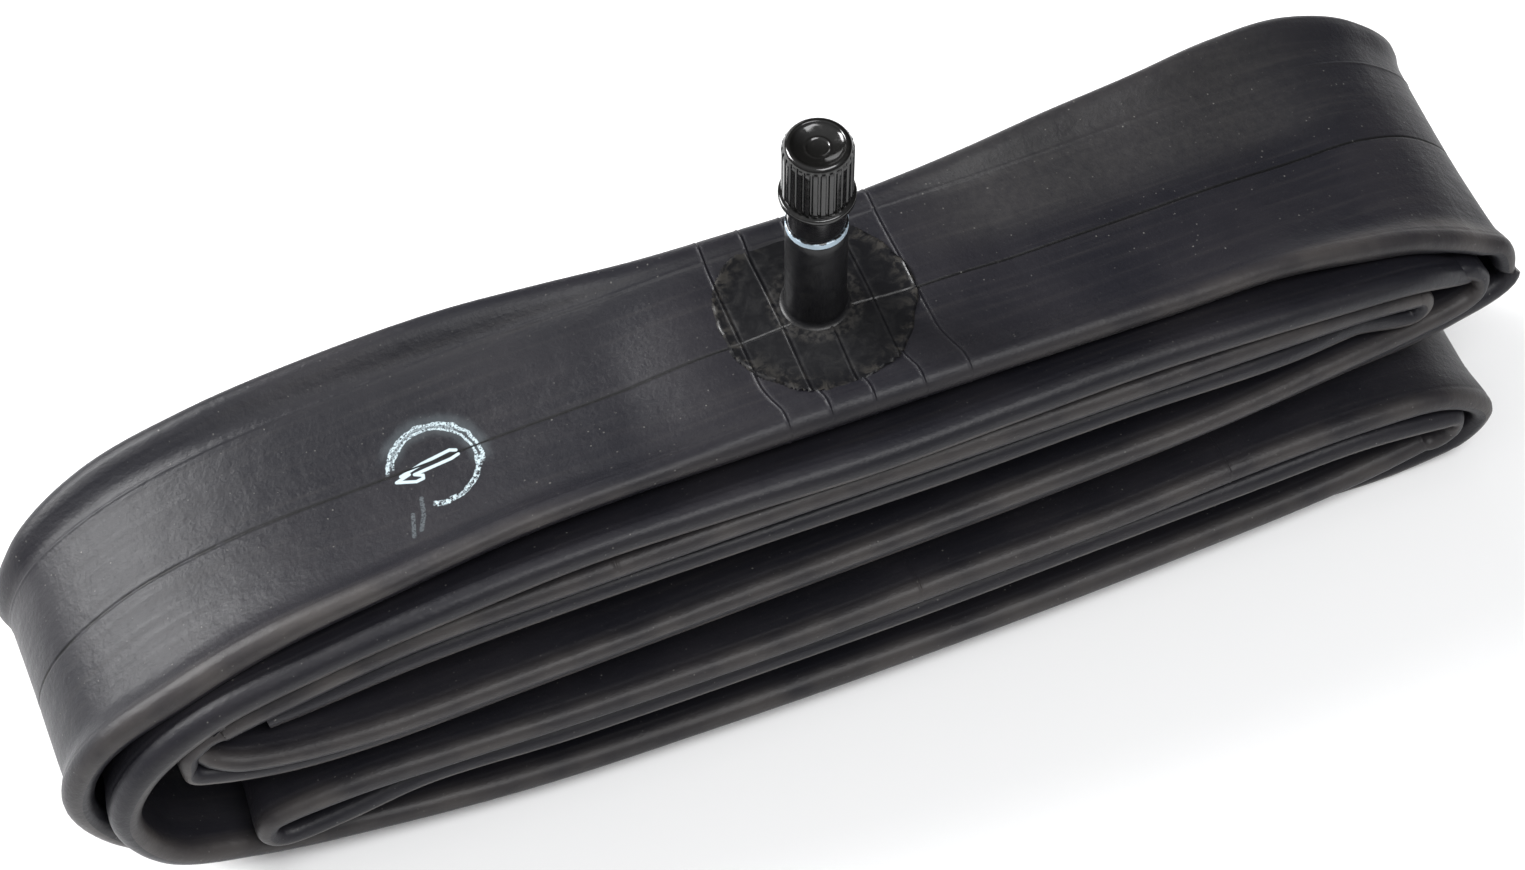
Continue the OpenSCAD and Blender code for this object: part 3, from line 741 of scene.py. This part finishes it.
def stem_mesh(material):
    """The metal stem: the ring on the rubber, the smooth neck, and the thread under the cap."""
    ring_top = SLEEVE_TOP + 1.1
    neck_top = ring_top + 5.0
    bore_r, lower_bore_r, body_r, foot_r = 2.67, 1.95, 3.3, 6.0
    foot = TUBE_TOP + 0.5
    outline = [(lower_bore_r, foot), (foot_r, foot), (foot_r, foot + 0.3), (body_r, foot + 0.3)]
    outline += rise(foot + 0.8, SLEEVE_TOP + 0.01, body_r, 4)
    outline += [(STEM_R - 0.08, SLEEVE_TOP + 0.01), (STEM_R, SLEEVE_TOP + 0.1)]
    outline += rise(SLEEVE_TOP + 0.3, ring_top - 0.12, STEM_R, 5) + [(STEM_R - 0.12, ring_top)]
    outline += [(NECK_R, ring_top + 0.02)] + rise(ring_top + 0.1, neck_top - 1.6, NECK_R, 8)
    outline += rise(neck_top - 1.5, MOUTH - 0.6, NECK_R, 96)
    outline += [(THREAD_R - 0.5, MOUTH), (bore_r + 0.4, MOUTH)] + rise(MOUTH - 0.4, MOUTH - 6.2, bore_r, 4)
    outline += [(lower_bore_r, MOUTH - 7.6)]

    def thread(r, z, a):
        """A fine helical groove, which runs out on the neck."""
        phase = (z / PITCH - a / (2 * np.pi)) % 1
        depth = 0.38 * smooth((z - neck_top + 1.2) / 1.4) * np.abs(2 * phase - 1)
        outer = (r > 3.6) & (z > neck_top - 1.5)
        return np.where(outer, np.minimum(r, THREAD_R + 0.05) - depth, r), z

    verts, faces = turned(outline, 72, thread)
    obj = make_object("stem_metal", verts, faces, material, crease=40)
    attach(obj, "ring")
    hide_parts("stem_insert")


def cap_mesh(material):
    """The cap: a rounded lip, moulded grip ribs, and a dished top with a plain raised circle."""
    foot, top = CAP_LOW[2], CAP_HIGH[2]
    lip_h, rib_top = 1.1, top - 1.0
    root_r, rib_depth, ribs = CAP_R - 0.66, 0.26, 28
    bore_r = 3.93
    roof = top - 2.3
    dish_r, dish = root_r - 0.75, 1.1
    outline = [(0.0, roof), (bore_r, roof), (bore_r, foot)]
    outline += arc(CAP_R - 0.45, foot + 0.45, 0.45, 270, 360, 6)
    outline += arc(CAP_R - 0.3, foot + lip_h - 0.3, 0.3, 0, 80, 5) + [(root_r, foot + lip_h + 0.12)]
    outline += rise(foot + lip_h + 0.25, rib_top, root_r, 26)
    outline += arc(root_r - 0.75, top - 0.75, 0.75, 0, 90, 9)
    outline += arc(dish_r, top - 0.3, 0.3, 90, 150, 4)
    bowl = np.linspace(0.86, 0, 30)
    circle = 0.09 * np.exp(-(((bowl * dish_r - 1.6) / 0.13) ** 2))
    outline += [(dish_r * k, top - 0.1 - (dish - 0.1) * (1 - k * k) + c) for k, c in zip(bowl, circle)]

    def grip(r, z, a):
        """Ribs from just over the lip to just under the rim."""
        wave = np.cos(ribs * a)
        lift = rib_depth * smooth((wave + 0.62) / 0.55)
        span = smooth((z - foot - lip_h - 0.1) / 0.35) * (1 - smooth((z - rib_top + 0.1) / 0.55))
        return np.where(r > root_r - 0.06, r + lift * span, r), z

    verts, faces = turned(outline, ribs * 12, grip)
    obj = make_object("cap_shell", verts, faces, material, crease=50)
    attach(obj, "cap")
    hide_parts("cap")


def dress_nodes():
    """Materials for the CAD pieces that show as they are."""
    brass = metal("core_brass", colour(0.7, 0.5, 0.22), colour(0.45, 0.3, 0.12), 0.2, 0.35)
    steel = metal("spring_steel", colour(0.6, 0.6, 0.6), colour(0.4, 0.4, 0.4), 0.2, 0.35)
    seat = soft_seal("seat_rubber", colour(0.04, 0.04, 0.04), colour(0.02, 0.02, 0.02))
    looks = {
        "cap_liner": soft_seal("liner_rubber", colour(0.05, 0.05, 0.055), colour(0.03, 0.03, 0.03)),
        "core_barrel_seal": soft_seal("core_seal", colour(0.5, 0.06, 0.04), colour(0.35, 0.04, 0.03)),
        "core_seat_seal": seat,
        "core_spring": steel,
    }
    for name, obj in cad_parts.items():
        material = looks.get(name, brass)
        if not obj.data.materials:
            obj.data.materials.append(material)
        for k in range(len(obj.data.materials)):
            obj.data.materials[k] = material


def spring_follows_pin():
    """Gives the core's spring a mesh of its own."""
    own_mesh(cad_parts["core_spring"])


# ---------------------------------------------------------------- the studio

# the camera's place from the valve's axis, its turn and tilt in degrees, and its lens
EYE = np.array([-121.2, -287.1, 516.8])
AZIMUTH = 21.6
ELEVATION = 57.5
LENS = 98.1


def studio_floor():
    g = Graph("studio_floor")
    g.set(Base_Color=colour(0.97, 0.97, 0.97), Roughness=0.7)
    size = 6.0
    mesh = bpy.data.meshes.new("floor")
    corners = [(-size, -size, 0), (size, -size, 0), (size, size, 0), (-size, size, 0)]
    mesh.from_pydata(corners, [], [(0, 1, 2, 3)])
    mesh.materials.append(g.material)
    floor = bpy.data.objects.new("floor", mesh)
    bpy.context.scene.collection.objects.link(floor)


def softbox(name, place, width, height, power):
    """A rectangular light aimed at the middle of the pack."""
    light = bpy.data.lights.new(name, "AREA")
    light.shape = "RECTANGLE"
    light.size = width
    light.size_y = height
    light.energy = power
    obj = bpy.data.objects.new(name, light)
    obj.location = place
    aim = Vector((0, 0, 0.04)) - Vector(place)
    obj.rotation_euler = aim.to_track_quat("-Z", "Y").to_euler()
    bpy.context.scene.collection.objects.link(obj)


def sky():
    """A soft surround, bright overhead and on the near left, dim near the horizon and far right."""
    world = bpy.data.worlds.new("studio")
    bpy.context.scene.world = world
    world.use_nodes = True
    nodes, links = world.node_tree.nodes, world.node_tree.links
    where = nodes.new("ShaderNodeTexCoord")
    split = nodes.new("ShaderNodeSeparateXYZ")
    links.new(where.outputs["Generated"], split.inputs[0])
    lift = nodes.new("ShaderNodeMapRange")
    lift.interpolation_type = "SMOOTHSTEP"
    links.new(split.outputs[2], lift.inputs["Value"])
    lift.inputs["From Min"].default_value = 0.25
    lift.inputs["From Max"].default_value = 1.0
    lift.inputs["To Min"].default_value = 0.2
    lift.inputs["To Max"].default_value = 0.6
    away = nodes.new("ShaderNodeVectorMath")
    away.operation = "DOT_PRODUCT"
    links.new(where.outputs["Generated"], away.inputs[0])
    away.inputs[1].default_value = (0.6, 0.8, 0.0)
    side = nodes.new("ShaderNodeMapRange")
    side.interpolation_type = "SMOOTHSTEP"
    links.new(away.outputs["Value"], side.inputs["Value"])
    side.inputs["From Min"].default_value = -0.2
    side.inputs["From Max"].default_value = 0.75
    side.inputs["To Min"].default_value = 1.25
    side.inputs["To Max"].default_value = 0.12
    both = nodes.new("ShaderNodeMath")
    both.operation = "MULTIPLY"
    links.new(lift.outputs["Result"], both.inputs[0])
    links.new(side.outputs["Result"], both.inputs[1])
    background = nodes["Background"]
    background.inputs["Color"].default_value = colour(0.97, 0.98, 1.0)
    links.new(both.outputs[0], background.inputs["Strength"])


def camera():
    """The camera, from the near left and well above, with a long lens."""
    azimuth = math.radians(AZIMUTH)
    elevation = math.radians(ELEVATION)
    look = Vector((
        math.sin(azimuth) * math.cos(elevation),
        math.cos(azimuth) * math.cos(elevation),
        -math.sin(elevation),
    ))
    data = bpy.data.cameras.new("camera")
    data.sensor_width = 36
    data.lens = LENS
    data.clip_start = 0.01
    data.clip_end = 20
    eye = bpy.data.objects.new("camera", data)
    eye.location = (VALVE + EYE) * MM
    eye.rotation_euler = look.to_track_quat("-Z", "Y").to_euler()
    bpy.context.scene.collection.objects.link(eye)
    bpy.context.scene.camera = eye


def main():
    tube_skin(tube_rubber())
    valve_rubber_mesh(valve_rubber())
    stem_mesh(stem_metal())
    cap_mesh(cap_plastic())
    dress_nodes()
    spring_follows_pin()
    studio_floor()
    sky()
    softbox("left", (-0.95, 0.75, 0.9), 0.6, 0.6, 34)
    softbox("back", (-0.1, 1.7, 0.75), 1.0, 0.35, 3)
    softbox("front", (0.3, -0.8, 1.9), 1.2, 0.8, 30)
    camera()
    bpy.context.scene.view_settings.view_transform = "Standard"


main()
